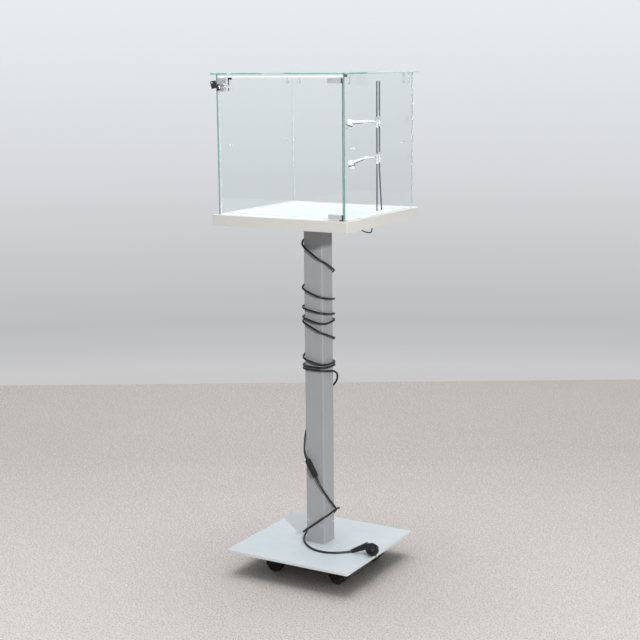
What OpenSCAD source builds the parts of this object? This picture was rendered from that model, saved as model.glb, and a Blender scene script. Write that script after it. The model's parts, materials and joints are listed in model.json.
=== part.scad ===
// Pedestal display case: a glass case with a hinged, lockable door on a wheeled steel pedestal.
// Millimetres. Origin: the point on the floor under the post. +Z up, the door faces -Y.

/* [Base] */
// Side of the square steel base plate
plate_side = 400; // [340:5:520]
// Thickness of the base plate
plate_t = 8; // [5:1:12]
// Radius of the base plate's corners
plate_corner_r = 6; // [2:1:12]
// Distance from the plate's edge to a castor's swivel axis
castor_inset = 95; // [70:1:110]
// Height from the top of a castor wheel to the underside of the plate
castor_h = 24; // [18:1:30]
// Diameter of a castor wheel
wheel_d = 42; // [40:1:60]
// Width of one of a castor's two wheels
wheel_w = 12; // [10:1:22]
// Distance from the swivel axis back to the wheels' axle
castor_trail = 16; // [14:1:24]

/* [Post] */
// Outer side of the square tube
post_side = 60; // [50:1:80]
// Wall of the square tube
post_wall = 2.5; // [1.5:0.5:4]
// Outer radius of the tube's corners
post_corner_r = 3; // [2:0.5:5]
// Length of the tube
post_len = 943; // [780:1:1140]
// Side of the square flange under the deck
flange_side = 200; // [160:5:280]
// Thickness of that flange
flange_t = 5; // [3:1:8]

/* [Deck] */
// How far the deck stands out past the case, without its edging
deck_margin = 12; // [8:0.5:30]
// Thickness of the deck
deck_t = 30; // [25:1:40]
// Thickness of the deck's edging
edging_t = 1; // [0.5:0.5:3]

/* [Glass case] */
// Outer side of the square glass case
case_side = 400; // [330:5:480]
// Height of the glass walls
glass_h = 382; // [320:1:460]
// Thickness of every pane
glass_t = 5; // [4:0.5:8]
// How far the lid stands out past the walls
lid_overhang = 11.5; // [4:0.5:12]
// Height of the header rail under the lid
header_h = 8.5; // [8:0.5:12]
// Depth of the header rail, front to back
header_d = 22; // [20:0.5:30]
// Wall of the header rail
header_wall = 1.5; // [1:0.25:2]

/* [Door] */
// Gap between the door's hinge edge and the side wall
door_gap = 3; // [2:0.25:5]
// Gap between the door's free edge and the side wall
free_gap = 2; // [1:0.25:4]
// Distance from the side wall's inner face to the hinge axis
pivot_inset = 7; // [6.5:0.5:10]
// Distance from the side walls' front edges back to the door
door_setback = 1.5; // [1:0.25:4]
// Length of a hinge clamp
clamp_len = 41; // [30:1:60]
// Height of a hinge clamp
clamp_h = 13; // [10:1:18]
// Thickness of a clamp's leaves
clamp_leaf = 3; // [2:0.5:3.5]
// Diameter of the hinge pins
pin_d = 4; // [3:0.5:5]

/* [Lock] */
// Width of the lock body
lock_w = 30; // [26:1:40]
// Height of the lock body
lock_h = 36; // [30:1:40]
// Thickness of the lock body in front of the glass
lock_t = 8; // [6:1:12]
// Diameter of the lock's barrel
barrel_d = 16; // [14:1:18]
// Diameter of the turning cylinder
cylinder_d = 12; // [10:0.5:13]

/* [Lamps] */
// Diameter of the two lamp rods
rod_d = 4; // [3:0.5:6]
// Distance between the two rods where the lamps ride
rod_spacing = 15; // [12:1:20]
// Distance from the rods' axis to the side wall
rod_inset = 17; // [14:1:30]
// Distance from the rods' tops to the lid
rod_top_gap = 21; // [14:1:60]
// Diameter of a lamp head
head_d = 24; // [18:1:30]
// Thickness of a lamp head
head_t = 11; // [8:1:16]

/* [Leads] */
// Diameter of the mains lead
cord_d = 6; // [5:0.5:8]
// Diameter of the lamps' lead
lead_d = 3.2; // [2.5:0.1:4]

/* [Hidden] */
$fn = 48;
eps = 0.01;

// Clearances
run_gap = 0.05;      // radial, a pin in its bush
seat_gap = 0.1;      // a fixed piece in its hole
move_gap = 0.5;      // between pieces that move past each other

// Heights, from the floor up
plate_z = wheel_d + castor_h;
plate_top = plate_z + plate_t;
flange_z = plate_top + post_len;
deck_z = flange_z + flange_t;
deck_top = deck_z + deck_t;
lid_z = deck_top + glass_h;
header_z = lid_z - header_h;

// Case planes
wall_out = case_side/2;
wall_in = wall_out - glass_t;
deck_side = case_side + 2*deck_margin + 2*edging_t;
header_back = -wall_out + header_d;

// Flat shapes ---------------------------------------------------------------

module rounded_rect(w, d, r) {
    square([w - 2*r, d], center = true);
    square([w, d - 2*r], center = true);
    for (x = [-1, 1], y = [-1, 1])
        translate([x*(w/2 - r), y*(d/2 - r)]) circle(r);
}

module slab(w, d, h, r) linear_extrude(h) rounded_rect(w, d, r);

// A box from its lowest corner to its highest
module span(lo, hi) translate(lo) cube(hi - lo);

// A cylinder from one point to another
module bar(from, to, d) {
    v = to - from;
    len = norm(v);
    translate(from) rotate([0, acos(v.z/len), atan2(v.y, v.x)]) cylinder(d = d, h = len);
}

// Base ----------------------------------------------------------------------

castor_at = plate_side/2 - castor_inset;
castor_places = [[-castor_at, -castor_at], [castor_at, -castor_at],
                 [castor_at, castor_at], [-castor_at, castor_at]];
castor_pad = 42;          // side of a castor's mounting plate
castor_pad_t = 2.5;
castor_screw_at = 15;     // half the spacing of its screws
castor_screw_d = 4;
hub_d = 20;               // housing of the swivel pin
hub_h = 10;
kingpin_d = 8;
hub_z = plate_z - castor_pad_t - hub_h;

foot_screw_at = 16;       // half the spacing of the screws into the post's foot
foot_screw_d = 8;
foot_block_h = 16;
countersink_d = 15;

module base_plate() color([0.74, 0.79, 0.82]) difference() {
    translate([0, 0, plate_z]) slab(plate_side, plate_side, plate_t, plate_corner_r);
    for (x = [-1, 1], y = [-1, 1]) translate([x*foot_screw_at, y*foot_screw_at, plate_z - eps]) {
        cylinder(d = foot_screw_d + 2*seat_gap, h = plate_t + 1);
        cylinder(d1 = countersink_d + 2*seat_gap, d2 = foot_screw_d + 2*seat_gap, h = 4);
    }
    for (p = castor_places, x = [-1, 1], y = [-1, 1])
        translate([p.x + x*castor_screw_at, p.y + y*castor_screw_at, plate_z - eps])
            cylinder(d = castor_screw_d + 2*seat_gap, h = 6);
}

module castor_plates() color([0.35, 0.35, 0.36])
    for (p = castor_places) translate([p.x, p.y, plate_z]) difference() {
        union() {
            translate([0, 0, -castor_pad_t]) slab(castor_pad, castor_pad, castor_pad_t, 4);
            translate([0, 0, -castor_pad_t - hub_h]) cylinder(d = hub_d, h = hub_h + eps);
        }
        translate([0, 0, -castor_pad_t - hub_h - 1])
            cylinder(d = kingpin_d + 2*run_gap, h = hub_h + castor_pad_t);
        for (x = [-1, 1], y = [-1, 1])
            translate([x*castor_screw_at, y*castor_screw_at, -castor_pad_t - 1])
                cylinder(d = castor_screw_d + 2*seat_gap, h = castor_pad_t + 2);
    }

module castor_screws()
    for (p = castor_places, x = [-1, 1], y = [-1, 1])
        translate([p.x + x*castor_screw_at, p.y + y*castor_screw_at, plate_z - castor_pad_t]) {
            cylinder(d = castor_screw_d, h = castor_pad_t + 5.5);
            translate([0, 0, -2.2]) cylinder(d = 7.5, h = 2.2);
        }

wheel_r = wheel_d/2;
axle_d = 6;
web_w = 10;               // hood's web, between the two wheels
hood_gap = 2;             // over the tread
hood_t = 2.5;
wheel_side_gap = 0.5;     // beside each wheel
hood_w = web_w + 2*wheel_w + 2*wheel_side_gap;
hood_r = wheel_r + hood_gap + hood_t;
kingpin_top = plate_z - castor_pad_t - 1.2;

// Hood, web, kingpin and the axle pressed through the web; the wheels trail towards +X
module castor_hood(p) color([0.05, 0.05, 0.05]) {
    axle_at = [p.x + castor_trail, p.y, wheel_r];
    difference() {
        union() {
            translate(axle_at) rotate([90, 0, 0])
                cylinder(r = hood_r, h = hood_w, center = true);
            translate([p.x, p.y, wheel_r]) cylinder(d = hub_d, h = hub_z - move_gap - wheel_r);
        }
        // wheel pockets
        for (s = [-1, 1]) translate(axle_at + [0, s*(web_w/2 + hood_w/2), 0])
            rotate([90, 0, 0]) cylinder(r = wheel_r + hood_gap, h = hood_w, center = true);
        // open below and in front of the axle
        translate(axle_at + [0, 0, -hood_r]) cube([3*hood_r, 2*hood_w, 2*hood_r - 8], center = true);
    }
    // web down past the axle
    difference() {
        translate(axle_at) rotate([90, 0, 0])
            cylinder(r = wheel_r - 6, h = web_w, center = true);
        translate(axle_at + [0, 0, hood_r - 8 + eps])
            cube([3*hood_r, 2*hood_w, 2*hood_r - 8], center = true);
    }
    translate([p.x, p.y, hub_z - move_gap - eps]) cylinder(d = kingpin_d, h = kingpin_top - hub_z + move_gap);
    translate(axle_at) rotate([90, 0, 0])
        cylinder(d = axle_d, h = web_w + 2*wheel_w - 2, center = true);
}

module castor_wheels(p) color([0.09, 0.09, 0.09])
    translate([p.x + castor_trail, p.y, wheel_r]) for (s = [-1, 1])
        translate([0, s*(web_w/2 + wheel_side_gap + wheel_w/2), 0]) rotate([90, 0, 0])
            difference() {
                union() {
                    cylinder(r = wheel_r - 1, h = wheel_w, center = true);
                    cylinder(r = wheel_r, h = wheel_w - 3, center = true);
                }
                // recessed outer face round a hub
                translate([0, 0, -s*(wheel_w/2 - 1.5)]) difference() {
                    cylinder(r = wheel_r - 6, h = 3 + eps, center = true);
                    cylinder(r = 7, h = 4, center = true);
                }
                cylinder(d = axle_d + 2*run_gap, h = wheel_w + 2, center = true);
            }

// Post ----------------------------------------------------------------------

module post_tube() color([0.62, 0.65, 0.67]) translate([0, 0, plate_top]) difference() {
    slab(post_side, post_side, post_len, post_corner_r);
    translate([0, 0, -1]) slab(post_side - 2*post_wall, post_side - 2*post_wall, post_len + 2, 1);
}

module post_foot_block() color([0.5, 0.5, 0.5]) translate([0, 0, plate_top]) difference() {
    slab(post_side - 2*post_wall - 2*seat_gap, post_side - 2*post_wall - 2*seat_gap, foot_block_h, 1);
    for (x = [-1, 1], y = [-1, 1]) translate([x*foot_screw_at, y*foot_screw_at, -1])
        cylinder(d = foot_screw_d + 2*seat_gap, h = foot_block_h + 2);
}

module foot_screws()
    for (x = [-1, 1], y = [-1, 1]) translate([x*foot_screw_at, y*foot_screw_at, plate_z]) {
        cylinder(d = foot_screw_d, h = plate_t + foot_block_h - 2);
        cylinder(d1 = countersink_d, d2 = foot_screw_d, h = 3.8);
    }

module base_screws() color([0.6, 0.6, 0.6]) {
    castor_screws();
    foot_screws();
}

flange_screw_at = flange_side/2 - 20;
wood_screw_d = 4.5;

module head_flange() color([0.62, 0.65, 0.67]) translate([0, 0, flange_z]) difference() {
    slab(flange_side, flange_side, flange_t, 8);
    for (x = [-1, 1], y = [-1, 1]) translate([x*flange_screw_at, y*flange_screw_at, -1])
        cylinder(d = wood_screw_d + 1, h = flange_t + 2);
}

module deck_screws() color([0.6, 0.6, 0.6])
    for (x = [-1, 1], y = [-1, 1]) translate([x*flange_screw_at, y*flange_screw_at, flange_z]) {
        cylinder(d = wood_screw_d, h = flange_t + 18);
        translate([0, 0, -2.8]) cylinder(d = 9, h = 2.8);
    }

// Deck ----------------------------------------------------------------------

pivot_x = wall_in - pivot_inset;
pivot_y = -wall_out + door_setback + glass_t/2;
bush_d = 9;
bush_depth = 10;
foot_t = 2.5;

rod_a = [wall_in - rod_inset, 16];                   // the front rod
rod_b_top = [rod_a.x, rod_a.y + rod_spacing];        // the rear rod where the lamps ride
rod_b_foot = [rod_a.x + 2, rod_a.y + 23];            // its foot stands wider, below a crank
crank_h = 120;                                       // height of the crank above the deck
stud_d = 3;                                          // stud under each rod socket

module deck_board() color([0.95, 0.95, 0.94]) difference() {
    translate([0, 0, deck_z]) slab(deck_side - 2*edging_t, deck_side - 2*edging_t, deck_t, 1);
    for (x = [-1, 1], y = [-1, 1])
        translate([x*flange_screw_at, y*flange_screw_at, deck_z - eps])
            cylinder(d = wood_screw_d + 2*seat_gap, h = 18.5);
    translate([pivot_x, pivot_y, deck_top - bush_depth]) cylinder(d = bush_d + 2*seat_gap, h = bush_depth + 1);
    for (p = [rod_a, rod_b_foot]) translate([p.x, p.y, deck_z - 1])
        cylinder(d = stud_d + 2*seat_gap, h = deck_t + 2);
}

module deck_edging() color([0.82, 0.81, 0.79]) translate([0, 0, deck_z]) difference() {
    slab(deck_side, deck_side, deck_t, 2);
    translate([0, 0, -1]) slab(deck_side - 2*edging_t, deck_side - 2*edging_t, deck_t + 2, 1);
}

// Glass case ----------------------------------------------------------------

module glass(lo, hi) color([0.75, 0.9, 0.88, 0.35]) span(lo, hi);
module glass_left() glass([-wall_out, -wall_out, deck_top], [-wall_in, wall_out, lid_z]);
module glass_right() glass([wall_in, -wall_out, deck_top], [wall_out, wall_out, lid_z]);
module glass_back() glass([-wall_in, wall_in, deck_top], [wall_in, wall_out, lid_z]);
lid_half = wall_out + lid_overhang;
module glass_lid() glass([-lid_half, -lid_half, lid_z], [lid_half, lid_half, lid_z + glass_t]);

clip_w = 8;
clip_t = 1.6;
clip_drop = 26;           // from the lid down to the middle of the button
clip_button_d = 9;
clip_button_t = 4;
// Each clip: the wall's direction seen from the middle, and its place along that wall
lid_clip_places = [[180, wall_in - 34], [180, 30 - wall_in], [0, wall_in - 15], [0, 32 - wall_in],
    [90, 24 - wall_in], [90, wall_in - 25]];

// A bent strap from the lid down the wall, with a round button at its end
module lid_clip() {
    translate([wall_in - clip_t - seat_gap, -clip_w/2, lid_z - clip_drop]) cube([clip_t, clip_w, clip_drop]);
    translate([wall_in - 12, -clip_w/2, lid_z - clip_t]) cube([12 - seat_gap, clip_w, clip_t]);
    translate([wall_in - clip_t - clip_button_t, 0, lid_z - clip_drop]) rotate([0, 90, 0])
        cylinder(d = clip_button_d, h = clip_button_t + clip_t - seat_gap);
}

module lid_clips() color([0.85, 0.86, 0.87]) for (c = lid_clip_places)
    rotate([0, 0, c[0]]) translate([0, c[0] == 0 ? c[1] : -c[1], 0]) lid_clip();

shelf_z = 188;            // height of the shelf studs above the deck
shelf_y = wall_in - 48;
module shelf_studs() color([0.85, 0.86, 0.87])
    for (s = [-1, 1], y = [-shelf_y, shelf_y]) translate([s*wall_in, y, deck_top + shelf_z])
        rotate([0, -s*90, 0]) {
            cylinder(d = 7, h = 1);
            cylinder(d = 4, h = 6);
            translate([0, 0, 5]) cylinder(d = 5.5, h = 1);
        }

// Header rail, open below, with the LED strip and its diffuser
bush_block_w = 16;
strip_from = -140;
strip_to = wall_in - bush_block_w - 6;
channel_y = [-wall_out + header_wall, header_back - header_wall];

module header_rail() color([0.97, 0.97, 0.97]) difference() {
    span([-wall_in, -wall_out, header_z], [wall_in, header_back, lid_z]);
    span([-wall_in - 1, channel_y[0], header_z - 1], [wall_in + 1, channel_y[1], lid_z - header_wall]);
}

// Tab under the header that the lock's cam turns up behind
module strike_tab() color([0.9, 0.9, 0.9]) {
    span([lock_x - 12, channel_y[0] + seat_gap, lid_z - header_wall - 1.2],
         [lock_x + 14, cylinder_rear - move_gap, lid_z - header_wall]);
    span([lock_x - 12, cylinder_rear - move_gap - 1.5, lock_z + cam_len - cam_grip],
         [lock_x + 14, cylinder_rear - move_gap, lid_z - header_wall]);
}

module led_strip() color([0.95, 0.93, 0.8]) {
    span([strip_from, channel_y[0] + 5, lid_z - header_wall - 1.5],
         [strip_to, channel_y[1] - 2, lid_z - header_wall]);
    for (x = [strip_from + 8 : 16 : strip_to - 8])
        translate([x, (channel_y[0] + channel_y[1])/2 + 1.5, lid_z - header_wall - 2.2])
            cube([3, 3, 1.5], center = true);
}

module led_diffuser() color([1, 1, 1])
    span([strip_from, channel_y[0] + seat_gap, header_z],
         [strip_to, channel_y[1] - seat_gap, header_z + 2]);

module upper_bush() difference() {
    span([wall_in - bush_block_w, channel_y[0] + seat_gap, header_z + 0.5],
         [wall_in - seat_gap, channel_y[1] - seat_gap, lid_z - header_wall]);
    translate([pivot_x, pivot_y, header_z - 1]) cylinder(d = pin_d + 2*run_gap, h = header_h + 2);
}

module lower_bush() difference() {
    union() {
        span([pivot_x - 6, pivot_y - 5.5, deck_top], [wall_in - seat_gap, pivot_y + 5.5, deck_top + foot_t]);
        translate([pivot_x, pivot_y, deck_top - bush_depth + seat_gap]) cylinder(d = bush_d, h = bush_depth);
    }
    translate([pivot_x, pivot_y, deck_top - bush_depth + 2]) cylinder(d = pin_d + 2*run_gap, h = 30);
}

module pivot_bushes() color([0.05, 0.05, 0.05]) {
    upper_bush();
    lower_bush();
}

// Door ----------------------------------------------------------------------

glass_front = pivot_y - glass_t/2;
glass_rear = pivot_y + glass_t/2;
clamp_web = 2;
pad_gap = 0.3;                                     // the thin pads in the clamps
door_right = wall_in - door_gap;
door_left = -wall_in + free_gap;
lower_clamp_z = deck_top + foot_t + move_gap;
upper_clamp_z = header_z - 2 - clamp_h;
door_bottom = lower_clamp_z + clamp_web + pad_gap;
door_top = upper_clamp_z + clamp_h - clamp_web - pad_gap;
clamp_right = pivot_x + 2.5;
cap_r = pivot_inset - 0.4;                         // the end caps turn clear of the side wall
pin_len = 7;

lock_left = -wall_in + 3;
lock_top = header_z - move_gap;
lock_x = lock_left + 21;                           // the cylinder's axis
lock_z = lock_top - 24.5;
barrel_front = glass_front - 15;
shank_d = cylinder_d + 4;

module door_glass() color([0.75, 0.9, 0.88, 0.35]) difference() {
    span([door_left, glass_front, door_bottom], [door_right, glass_rear, door_top]);
    translate([lock_x, glass_rear + 1, lock_z]) rotate([90, 0, 0])
        cylinder(d = shank_d + 1, h = glass_t + 2);
}

// One clamp: a channel over the glass edge, its web towards dir, with its pin
module hinge_clamp(z, dir) {
    edge = dir > 0 ? z + clamp_h : z;
    difference() {
        span([clamp_right - clamp_len, glass_front - clamp_leaf, z],
             [clamp_right, glass_rear + clamp_leaf, z + clamp_h]);
        span([clamp_right - clamp_len - 1, glass_front - pad_gap, dir > 0 ? z - 1 : z + clamp_web],
             [clamp_right + 1, glass_rear + pad_gap, dir > 0 ? z + clamp_h - clamp_web : z + clamp_h + 1]);
        for (x = [12, 28]) translate([clamp_right - x, glass_rear + clamp_leaf + 1, z + clamp_h/2])
            rotate([90, 0, 0]) cylinder(d = 4 + 2*seat_gap, h = clamp_leaf + 1);
    }
    translate([pivot_x, pivot_y, dir > 0 ? edge - 1 : edge - pin_len]) cylinder(d = pin_d, h = pin_len + 1);
}

module hinge_clamps() color([0.82, 0.83, 0.85]) {
    hinge_clamp(lower_clamp_z, -1);
    hinge_clamp(upper_clamp_z, 1);
}

// Round-ended black caps that close the clamps beside the wall
module hinge_end_caps() color([0.04, 0.04, 0.04]) for (z = [lower_clamp_z, upper_clamp_z])
    difference() {
        intersection() {
            translate([pivot_x, pivot_y, z]) cylinder(r = cap_r, h = clamp_h);
            span([clamp_right, pivot_y - 20, z - 1], [wall_in, pivot_y + 20, z + clamp_h + 1]);
        }
        span([clamp_right - 1, glass_front - pad_gap, z - 1],
             [door_right + pad_gap, glass_rear + pad_gap, z + clamp_h + 1]);
    }

module hinge_set_screws() color([0.2, 0.2, 0.2]) for (z = [lower_clamp_z, upper_clamp_z], x = [12, 28])
    translate([clamp_right - x, glass_rear + clamp_leaf, z + clamp_h/2]) rotate([90, 0, 0])
        difference() {
            cylinder(d = 4, h = clamp_leaf - pad_gap);
            translate([0, 0, -1]) cylinder(d = 2, h = 2.5, $fn = 6);
        }

// Lock ----------------------------------------------------------------------

module lock_body() color([0.82, 0.83, 0.85]) difference() {
    union() {
        span([lock_left, glass_front - pad_gap - lock_t, lock_top - lock_h],
             [lock_left + lock_w, glass_front - pad_gap, lock_top]);
        translate([lock_x, glass_front - 1, lock_z]) rotate([90, 0, 0])
            cylinder(d = barrel_d, h = glass_front - barrel_front - 1);
        // threaded shank through the glass
        translate([lock_x, glass_rear + 6, lock_z]) rotate([90, 0, 0]) cylinder(d = shank_d, h = glass_t + 8);
    }
    translate([lock_x, glass_rear + 20, lock_z]) rotate([90, 0, 0])
        cylinder(d = cylinder_d + 2*run_gap, h = 60);
}

// Clamping plate behind the glass, with two screws
module lock_back_plate() color([0.06, 0.06, 0.06]) difference() {
    union() {
        span([lock_left + 1, glass_rear + pad_gap, lock_z - 11],
             [lock_left + lock_w - 1, glass_rear + 3.5, header_z - 4]);
        for (x = [lock_x - 13, lock_x + 5]) translate([x, glass_rear + 5, header_z - 9])
            rotate([90, 0, 0]) cylinder(d = 5, h = 2);
    }
    translate([lock_x, glass_rear + 20, lock_z]) rotate([90, 0, 0]) cylinder(d = shank_d + 2*seat_gap, h = 30);
}

cylinder_front = barrel_front - 0.5;
cylinder_rear = glass_rear + 7;
module lock_cylinder() color([0.75, 0.75, 0.76]) difference() {
    translate([lock_x, cylinder_rear, lock_z]) rotate([90, 0, 0])
        cylinder(d = cylinder_d, h = cylinder_rear - cylinder_front);
    key_frame() span([-key_w/2 - seat_gap, -key_t/2 - seat_gap, -1],
                     [key_w/2 + seat_gap, key_t/2 + seat_gap, key_depth + seat_gap]);
}

cam_t = 2.5;
cam_len = lock_x + wall_in - 2;   // it rests clear of the side wall
cam_grip = 3;                     // how far it reaches up behind the tab
module lock_cam() color([0.7, 0.7, 0.7]) difference() {
    union() {
        translate([lock_x, cylinder_rear + cam_t, lock_z]) rotate([90, 0, 0]) cylinder(d = 12, h = cam_t - eps);
        span([lock_x - cam_len, cylinder_rear + eps, lock_z - 5], [lock_x, cylinder_rear + cam_t, lock_z + 5]);
    }
    translate([lock_x, cylinder_rear + 10, lock_z]) rotate([90, 0, 0])
        cylinder(d = 4 + 2*seat_gap, h = 30);
}

// The key: its blade in the cylinder, and a bow that folds sideways on a pin
key_w = 8;
key_t = 2.2;
key_depth = 14;
key_out = 14;             // from the cylinder's face to the fold's pin
key_lean = 12;            // angle of the key in the lock
key_fold = 60;            // how far the bow is folded, from straight out
key_pin_d = 2.4;
key_lug = 4;              // thickness of each of the bow's two lugs
bow_neck = 6;             // from the pin to the bow
bow_len = 15;
bow_h = 20;
bow_t = 6;
bow_shift = 9.5;          // the bow stands off centre

// Places its children on the cylinder's face: z into the lock, x along the key's width
module key_frame() translate([lock_x, cylinder_front, lock_z]) rotate([-90, 0, 0]) rotate([0, 0, 90 - key_lean])
    children();

module key_blade() color([0.8, 0.8, 0.82]) key_frame() difference() {
    union() {
        span([-key_w/2, -key_t/2, -key_out], [key_w/2, key_t/2, key_depth]);
        translate([-key_w/2, 0, -key_out]) rotate([0, 90, 0]) cylinder(d = 5, h = key_w);
    }
    translate([-key_w, 0, -key_out]) rotate([0, 90, 0]) cylinder(d = key_pin_d + 2*run_gap, h = 2*key_w);
}

// Folded towards the case's left wall; x along the pin, y away from it
module key_bow() color([0.08, 0.08, 0.08]) key_frame()
    translate([0, 0, -key_out]) rotate([key_fold - 90, 0, 0]) {
        lug_out = key_w/2 + 0.3 + key_lug;
        difference() {
            union() {
                rotate([0, 90, 0]) cylinder(d = 5, h = 2*lug_out, center = true);
                span([-lug_out, 0, -2.5], [lug_out, bow_neck + 2, 2.5]);
                span([-bow_shift - bow_h/2, bow_neck, -bow_t/2],
                     [-bow_shift + bow_h/2, bow_neck + bow_len, bow_t/2]);
            }
            // room for the blade's eye
            rotate([0, 90, 0]) cylinder(r = 4, h = key_w + 0.6, center = true);
            span([-key_w/2 - 0.3, -6, -6], [key_w/2 + 0.3, 0, 6]);
            // ribs for the grip, and the ring hole
            for (y = [bow_neck + 2.5 : 2.8 : bow_neck + bow_len - 2], t = [-1, 1])
                translate([-bow_shift, y, t*bow_t/2]) cube([bow_h + 2, 1.2, 1.2], center = true);
            translate([-bow_shift - bow_h/2 + 4, bow_neck + bow_len - 4, -bow_t])
                cylinder(d = 4, h = 2*bow_t);
        }
        rotate([0, 90, 0]) cylinder(d = key_pin_d, h = 2*lug_out - 1, center = true);
    }

// Lamps ---------------------------------------------------------------------

socket_h = 6;
rod_top_z = lid_z - rod_top_gap;
crank_z = deck_top + crank_h;

module lamp_rods() color([0.2, 0.2, 0.2]) {
    bar([rod_a.x, rod_a.y, deck_top + 1], [rod_a.x, rod_a.y, rod_top_z], rod_d);
    foot = [rod_b_foot.x, rod_b_foot.y, deck_top + socket_h + 2];
    crank = [rod_b_top.x, rod_b_top.y, crank_z];
    translate([foot.x, foot.y, deck_top + 1]) cylinder(d = rod_d, h = socket_h + 1);
    translate(foot) sphere(d = rod_d + 0.2);
    bar(foot, crank, rod_d);
    translate(crank) sphere(d = rod_d + 0.2);
    bar(crank, [rod_b_top.x, rod_b_top.y, rod_top_z], rod_d);
}

module rod_sockets() color([0.93, 0.93, 0.93]) for (p = [rod_a, rod_b_foot]) translate([p.x, p.y, deck_top])
    difference() {
        union() {
            cylinder(d = 13, h = 2);
            cylinder(d = 9, h = socket_h);
            translate([0, 0, -deck_t - 1]) cylinder(d = stud_d, h = deck_t + 2);
        }
        translate([0, 0, 1]) cylinder(d = rod_d + 2*seat_gap, h = 20);
    }

terminal_h = 6;
module rod_terminals() color([0.93, 0.93, 0.93]) difference() {
    span([rod_a.x - 24, rod_a.y - 8, deck_z - terminal_h], [rod_a.x + 6, rod_b_foot.y + 8, deck_z]);
    for (p = [rod_a, rod_b_foot]) translate([p.x, p.y, deck_z - 2]) cylinder(d = stud_d + 2*seat_gap, h = 3);
}

slider_d = 9;
slider_h = 22;
arm_d = 6;
arm_len = 34;             // from the front rod to the elbow
elbow_d = 8;
neck_len = 50;            // from the elbow to the head's pivot
// Each lamp: height above the deck, slope of its neck, tilt of its head
lamp_heights = [251, 152];
neck_slopes = [4, 20];
head_tilts = [18, -18];

function lamp_z(i) = deck_top + lamp_heights[i];
function elbow_at(i) = [rod_a.x - arm_len, rod_a.y, lamp_z(i)];
function head_at(i) = elbow_at(i) + neck_len*[-cos(neck_slopes[i]), 0, -sin(neck_slopes[i])];

// Two sleeves on the rods, a bridge, the arm and the fork's eye
module lamp_slider(i) color([0.9, 0.9, 0.91]) {
    difference() {
        union() {
            for (y = [rod_a.y, rod_b_top.y]) translate([rod_a.x, y, lamp_z(i) - slider_h/2])
                cylinder(d = slider_d, h = slider_h);
            span([rod_a.x - 2, rod_a.y, lamp_z(i) - 5], [rod_a.x + 2, rod_b_top.y, lamp_z(i) + 5]);
            bar([rod_a.x - 3, rod_a.y, lamp_z(i)], elbow_at(i) + [elbow_d/2 + 1, 0, 0], arm_d);
            translate(elbow_at(i) + [0, -5.6, 0]) rotate([-90, 0, 0]) cylinder(d = elbow_d, h = 3);
            span(elbow_at(i) + [0, -5.6, -2], elbow_at(i) + [elbow_d/2 + 4, -2.6, 2]);
            span(elbow_at(i) + [elbow_d/2 + 1, -5.6, -2], elbow_at(i) + [elbow_d/2 + 5, 0, 2]);
        }
        for (y = [rod_a.y, rod_b_top.y]) translate([rod_a.x, y, lamp_z(i) - slider_h])
            cylinder(d = rod_d + 2*run_gap, h = 2*slider_h);
        translate(elbow_at(i) + [0, -10, 0]) rotate([-90, 0, 0]) cylinder(d = 3 + 2*run_gap, h = 8);
    }
}

// Elbow eye with its pin, the tapered neck and the fork at the head
module lamp_arm(i) color([0.93, 0.93, 0.94])
    translate(elbow_at(i)) rotate([0, -neck_slopes[i], 0]) {
        translate([0, -2.3, 0]) rotate([-90, 0, 0]) cylinder(d = elbow_d, h = 5.3);
        translate([0, -6.4, 0]) rotate([-90, 0, 0]) cylinder(d = 3, h = 5);
        rotate([0, -90, 0]) translate([0, 0, 2]) cylinder(d1 = 4.2, d2 = 11, h = neck_len - 16);
        // fork round the head's lug
        difference() {
            union() {
                translate([-neck_len + 4, -4.5, -3]) cube([11, 9, 6]);
                translate([-neck_len, -4.5, 0]) rotate([-90, 0, 0]) cylinder(d = 7, h = 9);
                translate([-neck_len, -4.5, -3]) cube([6, 9, 6]);
            }
            translate([-neck_len - 6, -1.8, -6]) cube([11, 3.6, 12]);
            translate([-neck_len, -6, 0]) rotate([-90, 0, 0]) cylinder(d = 2.5 + 2*run_gap, h = 12);
        }
    }

// Places its children on a head's pivot, with z along the lamp's axis
module head_frame(i) translate(head_at(i)) rotate([0, head_tilts[i], 0]) children();

lug_h = 8;                // from the pivot to the back of the head
module lamp_head(i) color([0.93, 0.93, 0.94]) head_frame(i) {
    difference() {
        union() {
            translate([0, 0, -lug_h - head_t]) cylinder(d = head_d, h = head_t);
            translate([0, 0, -lug_h - eps]) cylinder(d1 = head_d - 4, d2 = 10, h = 2.5);
            translate([-2.6, -1.5, -lug_h]) cube([5.2, 3, lug_h]);
            translate([0, -1.5, 0]) rotate([-90, 0, 0]) cylinder(d = 5.2, h = 3);
        }
        translate([0, 0, -lug_h - head_t - 1]) cylinder(d = head_d - 3, h = 5);
    }
    translate([0, -4.4, 0]) rotate([-90, 0, 0]) cylinder(d = 2.5, h = 8.8);
}

module lamp_lens(i) color([1, 0.97, 0.9]) head_frame(i)
    translate([0, 0, -lug_h - head_t + 0.3]) cylinder(d = head_d - 3 - 2*seat_gap, h = 3.6);

// Driver --------------------------------------------------------------------

driver_size = [110, 45, 25];
driver_lo = [-40, flange_side/2 + 4, deck_z - driver_size.z];
driver_hi = driver_lo + driver_size;
gland_len = 14;
gland_at = [45, driver_lo.y, deck_z - 12];
lead_gland_len = 8;
lead_gland_at = [driver_hi.x, driver_lo.y + 22, deck_z - 14];

module driver_case() color([0.1, 0.1, 0.1]) difference() {
    span(driver_lo, driver_hi);
    span(driver_lo + [2, 2, 2], driver_hi - [2, 2, 2]);
    translate(gland_at + [0, -1, 0]) rotate([-90, 0, 0]) cylinder(d = 8 + 2*seat_gap, h = 4);
    translate(lead_gland_at + [1, 0, 0]) rotate([0, -90, 0]) cylinder(d = 5 + 2*seat_gap, h = 4);
}

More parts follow.
